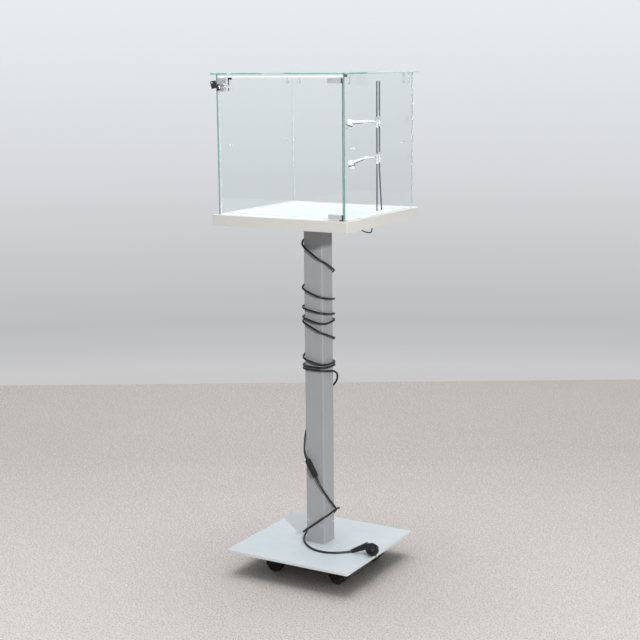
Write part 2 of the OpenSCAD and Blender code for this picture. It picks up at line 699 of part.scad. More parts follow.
// Strain reliefs for the mains lead and for the lamps' lead
module driver_gland() color([0.06, 0.06, 0.06]) {
    translate(gland_at) rotate([90, 0, 0]) {
        translate([0, 0, -2]) cylinder(d = 8, h = 2 + eps);
        cylinder(d1 = 13, d2 = 9, h = gland_len);
    }
    translate(lead_gland_at) rotate([0, 90, 0]) {
        translate([0, 0, -2]) cylinder(d = 5, h = 2 + eps);
        cylinder(d1 = 8, d2 = 5, h = lead_gland_len);
    }
}

// Leads ---------------------------------------------------------------------

function unit(v) = v/norm(v);
function tangents(p) = [for (i = [0 : len(p) - 1])
    unit(p[min(i + 1, len(p) - 1)] - p[max(i - 1, 0)])];
// Normals carried along the route without twist
function normals(t) = [for (i = 0, n = unit(cross(t[0], [0.1, 0.2, 1])); i < len(t);
    i = i + 1, n = i < len(t) ? unit(n - (n*t[i])*t[i]) : n) n];

// A round tube along a list of points: rings of triangles, closed at both ends
module tube(p, d, sides) {
    t = tangents(p);
    n = normals(t);
    rings = len(p);
    points = [for (i = [0 : rings - 1], s = [0 : sides - 1])
        p[i] + d/2*(cos(360*s/sides)*n[i] + sin(360*s/sides)*cross(t[i], n[i]))];
    function at(i, s) = i*sides + s % sides;
    faces = concat(
        [for (s = [1 : sides - 2]) [at(0, 0), at(0, s + 1), at(0, s)]],
        [for (s = [1 : sides - 2]) [at(rings - 1, 0), at(rings - 1, s), at(rings - 1, s + 1)]],
        [for (i = [0 : rings - 2], s = [0 : sides - 1]) [at(i, s), at(i, s + 1), at(i + 1, s)]],
        [for (i = [0 : rings - 2], s = [0 : sides - 1]) [at(i, s + 1), at(i + 1, s + 1), at(i + 1, s)]]);
    polyhedron(points, [for (f = faces) [f[0], f[2], f[1]]]);
}

// The winding runs round the post on a rounded square, anticlockwise from above.
wind_corner_r = 25;
wind_half = post_side/2 + cord_d/2 + 6.5;
rings_per_turn = 24;
// Heights above the base plate at the post's corners, one row a turn:
// front left, front right, back right, back left
wind_heights = [
    [934, 932, 930, 914],
    [883, 839, 804, 780],
    [758, 735, 723, 713],
    [702, 690, 680, 678],
    [674, 660, 664, 666],
    [661, 632, 607, 582],
    [556, 541, 540, 538],
    [534, 532, 531, 529],
    [525, 523, 511, 498]];
wind_from = 2.5;          // in quarter turns from the first row's front left
wind_to = 33.5;

function wind_height(q) = wind_heights[floor(q/4)][q % 4];
// Smooth height between corners
function wind_z(u) = let (q = floor(u), f = u - q,
    a = wind_height(max(q - 1, 0)), b = wind_height(q), c = wind_height(q + 1), d = wind_height(q + 2))
    plate_top + b + 0.5*f*((c - a) + f*((2*a - 5*b + 4*c - d) + f*(3*b - a - 3*c + d)));
// Place on the rounded square a quarter turn at a time, corner to corner
function wind_xy(u) = let (q = floor(u), f = u - q,
    flat = wind_half - wind_corner_r, bend = wind_corner_r*PI/4, s = f*(2*flat + 2*bend),
    local = s < bend ? let (a = 45*s/bend) [-flat - wind_corner_r*sin(45 - a), -flat - wind_corner_r*cos(45 - a)]
        : s < bend + 2*flat ? [-flat + s - bend, -wind_half]
        : let (a = 45*(s - bend - 2*flat)/bend) [flat + wind_corner_r*sin(a), -flat - wind_corner_r*cos(a)],
    turn = 90*q)
    [local.x*cos(turn) - local.y*sin(turn), local.x*sin(turn) + local.y*cos(turn)];
function wind_point(u) = let (p = wind_xy(u)) [p.x, p.y, wind_z(u)];
wind_steps = (wind_to - wind_from)*rings_per_turn/4;
winding = [for (i = [0 : wind_steps]) wind_point(wind_from + i*(wind_to - wind_from)/wind_steps)];
// Least gap between one turn and another
wind_self_gap = min([for (i = [0 : wind_steps], j = [i + rings_per_turn/2 : 1 : wind_steps])
    norm(winding[i] - winding[j])]) - cord_d;
echo(wind_self_gap = wind_self_gap);

// From the driver to the start of the winding
upper_route = [[45, 84, 1010], [43.5, 72.5, 1009.5], [39, 62, 1008.5], [31.5, 52.5, 1007],
    [22, 45.5, 1005], [11, 41, 1001.5]];
// From the winding down to the switch
middle_route = [[41, 15, 588], [42.5, 28, 579], [39, 37.5, 564], [29, 41.5, 547], [14, 41, 531],
    [-2, 40, 515], [-18, 40, 499], [-31, 37.5, 483], [-37, 26, 464], [-37, 10, 444], [-36, -6, 424],
    [-35.5, -19, 404], [-34, -28, 386], [-32.3, -33.5, 370], [-30.5, -36.8, 355],
    [-27.6, -37.8, 343]];
// From the switch round the post twice and over the plate to the plug
lower_route = [[15, -37.8, 266], [22.5, -37.5, 253.8], [32.5, -35, 237], [38, -27, 223],
    [38.5, -14, 208], [38, 0, 196], [37, 12, 185], [36.2, 24, 173.5], [33.5, 33.5, 163],
    [24, 38.5, 153], [10, 39, 144], [-8, 39, 134.5], [-24, 38.5, 126], [-35, 33, 118],
    [-41.5, 20, 110.5], [-44, 4, 105], [-45, -14, 101], [-42.5, -29, 102], [-33, -38.5, 108],
    [-20, -40, 118], [-6, -39.5, 129], [9, -39, 140], [24, -39, 152], [36, -35, 161.5],
    [42, -22, 166.5], [43.5, -6, 169.5], [43.5, 10, 171.5], [43.5, 24, 172], [42.5, 36, 169.5],
    [35, 46, 165], [22, 50, 157.5], [4, 50, 147.5], [-14, 49.5, 137], [-30, 46.5, 126.5],
    [-43, 38, 114.5], [-51, 24, 101], [-53, 8, 89], [-51, -9, 80.5], [-44, -24, 77.3],
    [-33, -39, 77.3], [-19, -55, 77.3], [-3, -69, 77.3], [15, -81, 77.3], [35, -89, 77.3],
    [56, -91, 77.3], [76, -88, 77.3], [94, -80, 77.3], [108, -70, 77.3], [119, -60, 77.3],
    [127, -52.5, 77.6]];
// From the rods' terminals to the driver
lamp_route = [[160, 25, 1011], [160, 25, 1003], [157.5, 25, 996.5], [151, 25, 994.7],
    [144, 25, 995.3], [136, 26, 997], [126, 29, 999.5], [115, 36, 1003], [106, 48, 1006],
    [101, 64, 1007.5], [98, 82, 1008], [96, 100, 1008], [94.5, 112, 1008], [92, 120, 1008],
    [87, 125, 1008]];

module cord(route, d, sides) color([0.06, 0.06, 0.06]) tube(route, d, sides);
// The last few millimetres before a joint run straight
stub = 3;
wind_in = unit(winding[1] - winding[0]);
wind_out = unit(winding[wind_steps] - winding[wind_steps - 1]);
module mains_lead_upper() cord(concat([gland_at - [0, gland_len, 0]], upper_route,
    [winding[0] - stub*wind_in, winding[0]]), cord_d, 8);
module mains_winding() cord(winding, cord_d, 6);
module mains_lead_middle() cord(concat([winding[wind_steps], winding[wind_steps] + stub*wind_out],
    middle_route, [switch_end(-1) - stub*switch_dir, switch_end(-1)]), cord_d, 8);
module mains_lead_lower() cord(concat([switch_end(1), switch_end(1) + stub*switch_dir],
    lower_route, [plug_entry - stub*unit(plug_neck_end - plug_entry), plug_entry]), cord_d, 8);
module lamp_lead() cord(concat([[160, 25, deck_z - terminal_h]], lamp_route,
    [lead_gland_at + [lead_gland_len + stub, 0, 0], lead_gland_at + [lead_gland_len, 0, 0]]), lead_d, 8);

// In-line switch, leaning on the post's front face
switch_size = [56, 15, 11];
switch_nose = 4;
switch_slope = 60;
switch_at = [-6.8, -post_side/2 - 0.3 - switch_size.y/2, 304.2];
switch_dir = [cos(switch_slope), 0, -sin(switch_slope)];
function switch_end(s) = switch_at + s*(switch_size.x/2 + switch_nose)*switch_dir;
module switch_frame() translate(switch_at) rotate([0, switch_slope, 0]) children();

module inline_switch() color([0.07, 0.07, 0.07]) switch_frame() difference() {
    union() {
        rotate([90, 0, 0]) translate([0, 0, -switch_size.y/2])
            slab(switch_size.x, switch_size.z, switch_size.y, 3);
        for (s = [-1, 1]) translate([s*(switch_size.x/2 - 1), 0, 0]) rotate([0, s*90, 0])
            cylinder(d1 = 10, d2 = 8, h = switch_nose + 1);
    }
    // pocket of the slider
    translate([-9, -5, -switch_size.z/2 - 1]) cube([18, 10, 4]);
}

switch_travel = 6;
// A flat slide with a nub to push
module switch_slider() color([0.13, 0.13, 0.13]) switch_frame() {
    translate([-9 + 0.4, -5 + 0.3, -switch_size.z/2 - 0.6]) cube([18 - 0.8 - switch_travel, 9.4, 3.3]);
    translate([-5.5, -5 + 0.3, -switch_size.z/2 - 3]) cube([4, 9.4, 3]);
}

// Angled mains plug leaning on the rim of its face, one pin past the plate's edge:
// a round body, its neck and two pins
plug_entry = [135.5, -46.2, plate_top + 6];
plug_neck_end = [178, -36, plate_top + 26];
plug_d = 38;
plug_at = [196, -47, plate_top + 21.2];
plug_tip = 50;            // how far the pins tip down, turned about the neck
plug_back = 13;           // from the middle of the body to its back
plug_front = 12;          // and to its face
pin_spacing = 19;
contact_d = 4.8;
contact_len = 19;
contact_root = 12;        // how deep a pin sits in the body

plug_neck_dir = unit(plug_neck_end - plug_entry);
plug_away = unit([-plug_neck_dir.y, plug_neck_dir.x, 0]);
plug_pin_dir = cos(plug_tip)*plug_away + sin(plug_tip)*cross(plug_away, plug_neck_dir);
plug_side = cross(plug_neck_dir, plug_pin_dir);

// Places its children at the middle of the plug's body, with z towards the tips of the pins
module plug_face() multmatrix([
    [plug_side.x, plug_neck_dir.x, plug_pin_dir.x, plug_at.x],
    [plug_side.y, plug_neck_dir.y, plug_pin_dir.y, plug_at.y],
    [plug_side.z, plug_neck_dir.z, plug_pin_dir.z, plug_at.z],
    [0, 0, 0, 1]]) children();

module plug_body() color([0.06, 0.06, 0.06]) difference() {
    union() {
        neck = plug_neck_end - plug_entry;
        translate(plug_entry) rotate([0, acos(neck.z/norm(neck)), atan2(neck.y, neck.x)])
            cylinder(d1 = 11, d2 = 20, h = norm(neck));
        plug_face() {
            translate([0, 0, -plug_back]) cylinder(d1 = plug_d - 10, d2 = plug_d, h = 6);
            translate([0, 0, 6 - plug_back]) cylinder(d = plug_d, h = plug_back + plug_front - 8);
            translate([0, 0, plug_front - 2]) cylinder(d1 = plug_d, d2 = plug_d - 3, h = 2);
        }
    }
    for (s = [-1, 1]) plug_face() translate([s*pin_spacing/2, 0, plug_front - contact_root - 0.5])
        cylinder(d = contact_d + 2*seat_gap, h = 20);
}

module plug_pins() color([0.8, 0.8, 0.78])
    for (s = [-1, 1]) plug_face() translate([s*pin_spacing/2, 0, plug_front - contact_root]) {
        cylinder(d = contact_d, h = contact_root + contact_len - 1.5);
        translate([0, 0, contact_root + contact_len - 1.5]) cylinder(d1 = contact_d, d2 = 2.6, h = 1.5);
    }

base_plate();
castor_plates();
base_screws();
castor_hood(castor_places[0]);  // castor_hood_1
castor_hood(castor_places[1]);  // castor_hood_2
castor_hood(castor_places[2]);  // castor_hood_3
castor_hood(castor_places[3]);  // castor_hood_4
castor_wheels(castor_places[0]);  // castor_wheels_1
castor_wheels(castor_places[1]);  // castor_wheels_2
castor_wheels(castor_places[2]);  // castor_wheels_3
castor_wheels(castor_places[3]);  // castor_wheels_4
post_tube();
post_foot_block();
head_flange();
deck_screws();
deck_board();
deck_edging();
glass_left();
glass_right();
glass_back();
glass_lid();
lid_clips();
shelf_studs();
header_rail();
strike_tab();
led_strip();
led_diffuser();
pivot_bushes();
door_glass();
hinge_clamps();
hinge_end_caps();
hinge_set_screws();
lock_body();
lock_back_plate();
lock_cylinder();
lock_cam();
key_blade();
key_bow();
lamp_rods();
rod_sockets();
rod_terminals();
lamp_slider(0);  // lamp_slider_1
lamp_arm(0);  // lamp_arm_1
lamp_head(0);  // lamp_head_1
lamp_lens(0);  // lamp_lens_1
lamp_slider(1);  // lamp_slider_2
lamp_arm(1);  // lamp_arm_2
lamp_head(1);  // lamp_head_2
lamp_lens(1);  // lamp_lens_2
driver_case();
driver_gland();
lamp_lead();
mains_lead_upper();
mains_winding();
mains_lead_middle();
mains_lead_lower();
inline_switch();
switch_slider();
plug_body();
plug_pins();
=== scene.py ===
"""Pedestal display case: its looks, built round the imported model. Metres, row frame."""

import json
import math

import bmesh
import bpy
from mathutils import Matrix, Vector

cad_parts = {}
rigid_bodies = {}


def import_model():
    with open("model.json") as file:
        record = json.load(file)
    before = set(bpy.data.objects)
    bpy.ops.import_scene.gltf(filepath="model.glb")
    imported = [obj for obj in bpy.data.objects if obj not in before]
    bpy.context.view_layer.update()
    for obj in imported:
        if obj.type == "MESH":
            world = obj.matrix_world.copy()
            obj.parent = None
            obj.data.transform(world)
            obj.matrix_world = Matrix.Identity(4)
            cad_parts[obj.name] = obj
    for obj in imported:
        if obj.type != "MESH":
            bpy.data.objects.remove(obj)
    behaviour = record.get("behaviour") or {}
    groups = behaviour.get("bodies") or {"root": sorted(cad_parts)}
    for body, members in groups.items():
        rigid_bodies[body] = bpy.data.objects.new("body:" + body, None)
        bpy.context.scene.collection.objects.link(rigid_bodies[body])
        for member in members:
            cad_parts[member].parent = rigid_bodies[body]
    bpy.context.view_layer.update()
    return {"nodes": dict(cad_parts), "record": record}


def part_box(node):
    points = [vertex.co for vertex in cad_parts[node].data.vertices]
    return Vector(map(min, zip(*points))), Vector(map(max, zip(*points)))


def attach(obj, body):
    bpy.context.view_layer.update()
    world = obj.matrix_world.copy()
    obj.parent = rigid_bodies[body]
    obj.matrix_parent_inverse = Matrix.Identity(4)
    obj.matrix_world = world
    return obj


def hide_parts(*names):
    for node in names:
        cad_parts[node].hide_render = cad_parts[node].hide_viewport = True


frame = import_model()
NODES = frame["nodes"]
BEHAVIOUR = frame["record"]["behaviour"]
BODY_OF = {node: body for body, nodes in BEHAVIOUR["bodies"].items() for node in nodes}
JOINTS = {joint["name"]: joint for joint in BEHAVIOUR["joints"]}
scene = bpy.context.scene


def mm(*p):
    """A point given in millimetres."""
    return Vector([c / 1000 for c in p])


def bearing(azimuth, elevation=0.0):
    """The direction from the object towards an azimuth and elevation, in radians."""
    return Vector((math.sin(azimuth) * math.cos(elevation), -math.cos(azimuth) * math.cos(elevation),
                   math.sin(elevation)))


# Camera ---------------------------------------------------------------------
VIEW_AZ, VIEW_EL, VIEW_ROLL = (math.radians(a) for a in (30.21, 10.77, -0.55))
FOCUS_HEIGHT, FOCUS_RIGHT, VIEW_DISTANCE = 0.7372, 0.00365, 3.8981
FRONT = bearing(VIEW_AZ)
back = bearing(VIEW_AZ, VIEW_EL)
right = Vector((math.cos(VIEW_AZ), math.sin(VIEW_AZ), 0))
up = back.cross(right)
cam_x = right * math.cos(VIEW_ROLL) + up * math.sin(VIEW_ROLL)
cam_y = up * math.cos(VIEW_ROLL) - right * math.sin(VIEW_ROLL)
camera = bpy.data.objects.new("camera", bpy.data.cameras.new("camera"))
camera.data.lens = 76.37
camera.data.sensor_width = 36
camera.data.clip_end = 60
camera_at = Vector((0, 0, FOCUS_HEIGHT)) + right * FOCUS_RIGHT + back * VIEW_DISTANCE
camera.matrix_world = Matrix.Translation(camera_at) @ Matrix((cam_x, cam_y, back)).transposed().to_4x4()
scene.collection.objects.link(camera)
scene.camera = camera

# Leads ----------------------------------------------------------------------
# The routes and sizes are the source's, in millimetres.
PLATE_TOP = 74
MAINS_D, LAMP_LEAD_D = 6, 3.2
STUB = 3  # a lead runs straight for so long into the winding, the switch and the plug
MAINS_EXIT = (45, 90, 1010)
UPPER = [[45, 84, 1010], [43.5, 72.5, 1009.5], [39, 62, 1008.5], [31.5, 52.5, 1007], [22, 45.5, 1005], [11, 41, 1001.5]]
MIDDLE = [[41, 15, 588], [42.5, 28, 579], [39, 37.5, 564], [29, 41.5, 547], [14, 41, 531], [-2, 40, 515],
          [-18, 40, 499], [-31, 37.5, 483], [-37, 26, 464], [-37, 10, 444], [-36, -6, 424], [-35.5, -19, 404],
          [-34, -28, 386], [-32.3, -33.5, 370], [-30.5, -36.8, 355], [-27.6, -37.8, 343]]
LOWER = [[15, -37.8, 266], [22.5, -37.5, 253.8], [32.5, -35, 237], [38, -27, 223], [38.5, -14, 208], [38, 0, 196],
         [37, 12, 185], [36.2, 24, 173.5], [33.5, 33.5, 163], [24, 38.5, 153], [10, 39, 144], [-8, 39, 134.5],
         [-24, 38.5, 126], [-35, 33, 118], [-41.5, 20, 110.5], [-44, 4, 105], [-45, -14, 101], [-42.5, -29, 102],
         [-33, -38.5, 108], [-20, -40, 118], [-6, -39.5, 129], [9, -39, 140], [24, -39, 152], [36, -35, 161.5],
         [42, -22, 166.5], [43.5, -6, 169.5], [43.5, 10, 171.5], [43.5, 24, 172], [42.5, 36, 169.5], [35, 46, 165],
         [22, 50, 157.5], [4, 50, 147.5], [-14, 49.5, 137], [-30, 46.5, 126.5], [-43, 38, 114.5], [-51, 24, 101],
         [-53, 8, 89], [-51, -9, 80.5], [-44, -24, 77.3], [-33, -39, 77.3], [-19, -55, 77.3], [-3, -69, 77.3],
         [15, -81, 77.3], [35, -89, 77.3], [56, -91, 77.3], [76, -88, 77.3], [94, -80, 77.3], [108, -70, 77.3],
         [119, -60, 77.3], [127, -52.5, 77.6]]
LAMP_ROUTE = [[160, 25, 1016], [160, 25, 1011], [160, 25, 1003], [157.5, 25, 996.5], [151, 25, 994.7],
              [144, 25, 995.3], [136, 26, 997], [126, 29, 999.5], [115, 36, 1003], [106, 48, 1006], [101, 64, 1007.5],
              [98, 82, 1008], [96, 100, 1008], [94.5, 112, 1008], [92, 120, 1008], [87, 125, 1008], [81, 126, 1008],
              [78, 126, 1008]]
# the winding: half the width of its square and the radius of the corners; its heights over the plate, a row a turn
WIND_HALF, WIND_R = 39.5, 25
WIND_HEIGHTS = [[934, 932, 930, 914], [883, 839, 804, 780], [758, 735, 723, 713], [702, 690, 680, 678],
                [674, 660, 664, 666], [661, 632, 607, 582], [556, 541, 540, 538], [534, 532, 531, 529],
                [525, 523, 511, 498]]
WIND_FROM, WIND_LONG, WIND_STEPS = 2.5, 31, 6  # its first quarter turn, their number, and the points on each
SWITCH_AT = Vector((-6.8, -37.8, 304.2))
SWITCH_HALF = 32
SWITCH_LEAN = math.radians(60)
PLUG_ENTRY, PLUG_NECK_END = Vector((135.5, -46.2, 80)), Vector((178, -36, 100))


def wind_point(u):
    """A point of the winding, u in quarter turns from the first row's front left."""
    q, f = int(u), u - int(u)
    a, b, c, d = (WIND_HEIGHTS[i // 4][i % 4] for i in (max(q - 1, 0), q, q + 1, q + 2))
    z = PLATE_TOP + b + 0.5 * f * ((c - a) + f * ((2 * a - 5 * b + 4 * c - d) + f * (3 * b - a - 3 * c + d)))
    flat = WIND_HALF - WIND_R
    bend = WIND_R * math.pi / 4
    s = f * 2 * (flat + bend)
    if s < bend:
        w = math.radians(45 * (1 - s / bend))
        x, y = -flat - WIND_R * math.sin(w), -flat - WIND_R * math.cos(w)
    elif s < bend + 2 * flat:
        x, y = -flat + s - bend, -WIND_HALF
    else:
        w = math.radians(45 * (s - bend - 2 * flat) / bend)
        x, y = flat + WIND_R * math.sin(w), -flat - WIND_R * math.cos(w)
    for _ in range(q % 4):
        x, y = -y, x
    return Vector((x, y, z))


def smooth(points, step=2.5):
    """A smooth curve through the points, in millimetres, its knots spaced by the roots of their distances."""
    p = [Vector(a) for a in points]
    p = [p[0] * 2 - p[1]] + p + [p[-1] * 2 - p[-2]]
    out = []
    for i in range(1, len(p) - 2):
        a, b, c, d = p[i - 1:i + 3]
        t1 = math.sqrt((b - a).length)
        t2 = t1 + math.sqrt((c - b).length)
        t3 = t2 + math.sqrt((d - c).length)
        n = max(1, round((c - b).length / step))
        for k in range(n):
            t = t1 + (t2 - t1) * k / n
            a1 = a.lerp(b, t / t1)
            a2 = b.lerp(c, (t - t1) / (t2 - t1))
            a3 = c.lerp(d, (t - t2) / (t3 - t2))
            b1 = a1.lerp(a2, t / t2)
            b2 = a2.lerp(a3, (t - t1) / (t3 - t1))
            out.append(b1.lerp(b2, (t - t1) / (t2 - t1)))
    return out + [p[-2]]


def lead(name, points, diameter, stands_for):
    """A lead as a curve of one open spline, in place of its nodes; returns it and its length in metres."""
    curve = bpy.data.curves.new(name, "CURVE")
    curve.dimensions = "3D"
    curve.bevel_depth = 1.0  # times each point's radius
    curve.bevel_resolution = 4
    curve.use_fill_caps = True
    line = curve.splines.new("POLY")
    line.points.add(len(points) - 1)
    for spot, p in zip(line.points, points):
        spot.co = (*mm(*p), 1)
        spot.radius = diameter / 2000
    ob = bpy.data.objects.new(name, curve)
    scene.collection.objects.link(ob)
    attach(ob, "stand")
    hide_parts(*stands_for)
    return ob, sum((b - a).length for a, b in zip(points, points[1:])) / 1000


switch_dir = Vector((math.cos(SWITCH_LEAN), 0, -math.sin(SWITCH_LEAN)))
switch_ends = [SWITCH_AT - SWITCH_HALF * switch_dir, SWITCH_AT + SWITCH_HALF * switch_dir]
neck_dir = (PLUG_NECK_END - PLUG_ENTRY).normalized()
wound = [wind_point(WIND_FROM + i / WIND_STEPS) for i in range(WIND_LONG * WIND_STEPS + 1)]
wind_in = (wound[1] - wound[0]).normalized()
wind_out = (wound[-1] - wound[-2]).normalized()
mains_points = smooth(
    [MAINS_EXIT] + UPPER + [wound[0] - STUB * wind_in] + wound + [wound[-1] + STUB * wind_out] + MIDDLE
    + [switch_ends[0] - STUB * switch_dir, switch_ends[0], SWITCH_AT]
    + [switch_ends[1], switch_ends[1] + STUB * switch_dir] + LOWER + [PLUG_ENTRY - STUB * neck_dir, PLUG_ENTRY])
mains, mains_length = lead("mains_lead", mains_points, MAINS_D,
                           ("mains_lead_upper", "mains_winding", "mains_lead_middle", "mains_lead_lower"))
lamp_wire, lamp_wire_length = lead("lamp_lead_wire", smooth(LAMP_ROUTE, 1.5), LAMP_LEAD_D, ("lamp_lead",))


# Materials ------------------------------------------------------------------
def srgb(*c):
    """An 8-bit sRGB colour as linear values."""
    return [((v / 255 + 0.055) / 1.055) ** 2.4 if v > 10 else v / 255 / 12.92 for v in c]


class Tree:
    """The node tree of a material or world, with its coordinates."""

    def __init__(self, owner, output, coords):
        owner.use_nodes = True
        self.t = owner.node_tree
        self.t.nodes.clear()
        self.out = self.node(output)
        self.coords = self.node("ShaderNodeTexCoord").outputs[coords]

    def node(self, kind, inputs=None, **props):
        """Adds a node. inputs: for a socket's name or number, its value or the socket that feeds it."""
        n = self.t.nodes.new(kind)
        for key, value in props.items():
            setattr(n, key, value)
        for key, value in (inputs or {}).items():
            if isinstance(value, bpy.types.NodeSocket):
                self.t.links.new(value, n.inputs[key])
            else:
                n.inputs[key].default_value = value
        return n

    def link(self, a, b):
        self.t.links.new(a, b)

    def calc(self, operation, *values):
        """The result of a named operation on values or sockets."""
        return self.node("ShaderNodeMath", dict(enumerate(values)), operation=operation).outputs[0]

    def axis(self, i):
        """The coordinates' X, Y or Z, by number."""
        return self.node("ShaderNodeSeparateXYZ", {0: self.coords}).outputs[i]

    def along(self, direction):
        """How far the coordinates lie along a direction."""
        return self.node("ShaderNodeVectorMath", {0: self.coords, 1: direction},
                         operation="DOT_PRODUCT").outputs["Value"]

    def span(self, fac, lo, hi, a, b):
        """Maps fac from lo..hi to a..b, clamped."""
        return self.node("ShaderNodeMapRange", {"Value": fac, "From Min": lo, "From Max": hi, "To Min": a,
                                                "To Max": b}).outputs[0]

    def blend(self, fac, a, b):
        """Mixes two colours, each a socket or a linear colour."""
        a, b = (c if isinstance(c, bpy.types.NodeSocket) else (*c, 1) for c in (a, b))
        return self.node("ShaderNodeMix", {0: fac, 6: a, 7: b}, data_type="RGBA").outputs[2]

    def ramp(self, fac, stops, interpolation="LINEAR"):
        """Looks fac up in rows of position and linear colour."""
        n = self.node("ShaderNodeValToRGB", {0: fac})
        n.color_ramp.interpolation = interpolation
        elements = n.color_ramp.elements
        elements.remove(elements[0])
        elements[0].position, elements[0].color = stops[0][0], (*stops[0][1], 1)
        for position, colour in stops[1:]:
            elements.new(position).color = (*colour, 1)
        return n.outputs[0]


M = {}  # the materials by name


class Mat(Tree):
    """A Principled material with procedural detail in metres."""

    def __init__(self, name, color, rough, metal=0.0, **sockets):
        M[name] = bpy.data.materials.new(name)
        super().__init__(M[name], "ShaderNodeOutputMaterial", "Object")
        self.b = self.node("ShaderNodeBsdfPrincipled", {"Base Color": (*color, 1), "Roughness": rough,
                                                        "Metallic": metal})
        for key, value in sockets.items():
            self.b.inputs[key.replace("_", " ")].default_value = value
        self.link(self.b.outputs[0], self.out.inputs[0])
        self.color, self.rough = color, rough

    def painted(self):
        """The colour so far."""
        source = self.b.inputs["Base Color"]
        return source.links[0].from_socket if source.links else self.color

    def paint(self, colour):
        self.link(colour, self.b.inputs["Base Color"])
        return self

    def noise(self, scale, detail=3, stretch=None):
        """Noise with features of about 1/scale metres."""
        coords = self.coords
        if stretch:
            coords = self.node("ShaderNodeMapping", {"Vector": coords, "Scale": stretch}).outputs[0]
        return self.node("ShaderNodeTexNoise", {"Vector": coords, "Scale": scale, "Detail": detail}).outputs["Fac"]

    def tint(self, amount, scale, detail=4, stretch=None, towards=None):
        """Lets the colour drift by a share of itself, or towards another colour."""
        other = towards or [min(1, c * (1 - amount)) for c in self.color]
        fac = self.span(self.noise(scale, detail, stretch), 0.35, 0.7, 0, amount if towards else 1)
        return self.paint(self.blend(fac, self.painted(), other))

    def gloss(self, amount, scale, detail=4, stretch=None):
        """Lets the roughness drift up and down."""
        self.link(self.span(self.noise(scale, detail, stretch), 0.3, 0.7, max(0.02, self.rough - amount),
                            self.rough + amount), self.b.inputs["Roughness"])
        return self

    def grain(self, scale, height):
        """Fine relief of the given height in metres."""
        bump = self.node("ShaderNodeBump", {"Strength": 0.6, "Distance": height, "Height": self.noise(scale, 2)})
        self.link(bump.outputs[0], self.b.inputs["Normal"])
        return self

    def clear_for_lamps(self):
        """Lets the lamps' light through a glass material, so that panes don't darken what they cover."""
        shadow = self.node("ShaderNodeLightPath").outputs["Is Shadow Ray"]
        clear = self.node("ShaderNodeBsdfTransparent", {0: (0.965, 0.975, 0.973, 1)})
        mix = self.node("ShaderNodeMixShader", {0: shadow, 1: self.b.outputs[0], 2: clear.outputs[0]})
        self.link(mix.outputs[0], self.out.inputs[0])


# powder coat and paint
(Mat("plate_paint", srgb(213, 221, 224), 0.5).tint(0.06, 9).tint(0.1, 60, 5, towards=srgb(190, 196, 198))
 .gloss(0.1, 25).grain(900, 0.00005))
# the plate's rounded edges paler than its top: painted highlight, with darker patches at random
(Mat("plate_edge", srgb(226, 232, 234), 0.42).tint(0.2, 160, 5, towards=srgb(150, 156, 158)).gloss(0.1, 60)
 .grain(900, 0.00004))
# the plate's underside dark grey: painted shade, which deepens the shadow on the floor beneath the plate
(Mat("plate_under_shade", srgb(58, 57, 55), 0.7).tint(0.3, 25, towards=srgb(84, 80, 74)).gloss(0.1, 60)
 .grain(600, 0.00006))
post = (Mat("post_paint", srgb(163, 166, 169), 0.4).tint(0.05, 7)
        .tint(0.1, 55, 5, (1, 1, 0.25), towards=srgb(150, 153, 156)).gloss(0.09, 20, 4, (1, 1, 0.2))
        .grain(1100, 0.00004))
# two rub marks of the lead, slanting round the foot
slant = post.along((0.333, -0.13, 1))
for height, scale in ((0.138, 35), (0.1445, 28)):
    off = post.calc("ABSOLUTE", post.calc("SUBTRACT", slant, height))
    mark = post.calc("MULTIPLY", post.span(off, 0.0005, 0.0014, 0.9, 0),
                     post.span(post.noise(scale, 2), 0.48, 0.56, 0, 1))
    post.paint(post.blend(mark, post.painted(), srgb(236, 239, 241)))
Mat("castor_steel", srgb(120, 121, 123), 0.4, 0.9).tint(0.2, 90).gloss(0.1, 120).grain(1500, 0.00003)
(Mat("zinc", srgb(196, 198, 200), 0.32, 0.95).tint(0.15, 200, towards=srgb(170, 168, 150)).gloss(0.1, 300)
 .grain(1800, 0.00002))
Mat("castor_black", srgb(24, 24, 25), 0.42).tint(0.3, 60).gloss(0.1, 80).grain(1600, 0.00004)
(Mat("wheel_black", srgb(30, 30, 31), 0.55).tint(0.2, 120, towards=srgb(70, 66, 62)).gloss(0.12, 90)
 .grain(700, 0.00008))
# melamine board and its edging
(Mat("deck_white", srgb(220, 221, 223), 0.4, Specular_IOR_Level=0.25).tint(0.03, 6)
 .tint(0.08, 90, 5, towards=srgb(211, 213, 214)).gloss(0.07, 30).grain(1300, 0.00003))
(Mat("edging_beige", srgb(216, 216, 210), 0.4).tint(0.03, 8).tint(0.12, 70, 5, (1, 1, 3), towards=srgb(202, 200, 193))
 .gloss(0.08, 40).grain(1000, 0.00004))
# the edging's rounded arrises paler: partly wear, partly painted highlight
(Mat("edging_arris", srgb(240, 239, 234), 0.45).tint(0.25, 130, 4, towards=srgb(190, 186, 178)).gloss(0.1, 70)
 .grain(900, 0.00003))
# metals
Mat("chrome", srgb(226, 228, 231), 0.13, 1.0).tint(0.1, 80).gloss(0.05, 260, 5, (1, 1, 6)).grain(500, 0.00001)
Mat("clip_bright", srgb(236, 238, 240), 0.14, 0.9).tint(0.12, 120).gloss(0.06, 260).grain(900, 0.00001)
Mat("satin_bright", srgb(222, 224, 227), 0.24, 0.35).tint(0.12, 110).gloss(0.08, 220, 5, (1, 1, 6)).grain(700, 0.00001)
Mat("cylinder_steel", srgb(196, 196, 198), 0.24, 1.0).tint(0.12, 200).gloss(0.08, 400).grain(2500, 0.00002)
Mat("nickel", srgb(214, 211, 202), 0.22, 1.0).tint(0.1, 200).gloss(0.08, 500).grain(3000, 0.00001)
(Mat("rod_dark", srgb(16, 17, 18), 0.36).tint(0.2, 60, 4, (1, 1, 0.2)).gloss(0.08, 300, 3, (1, 1, 0.05))
 .grain(2200, 0.00002))
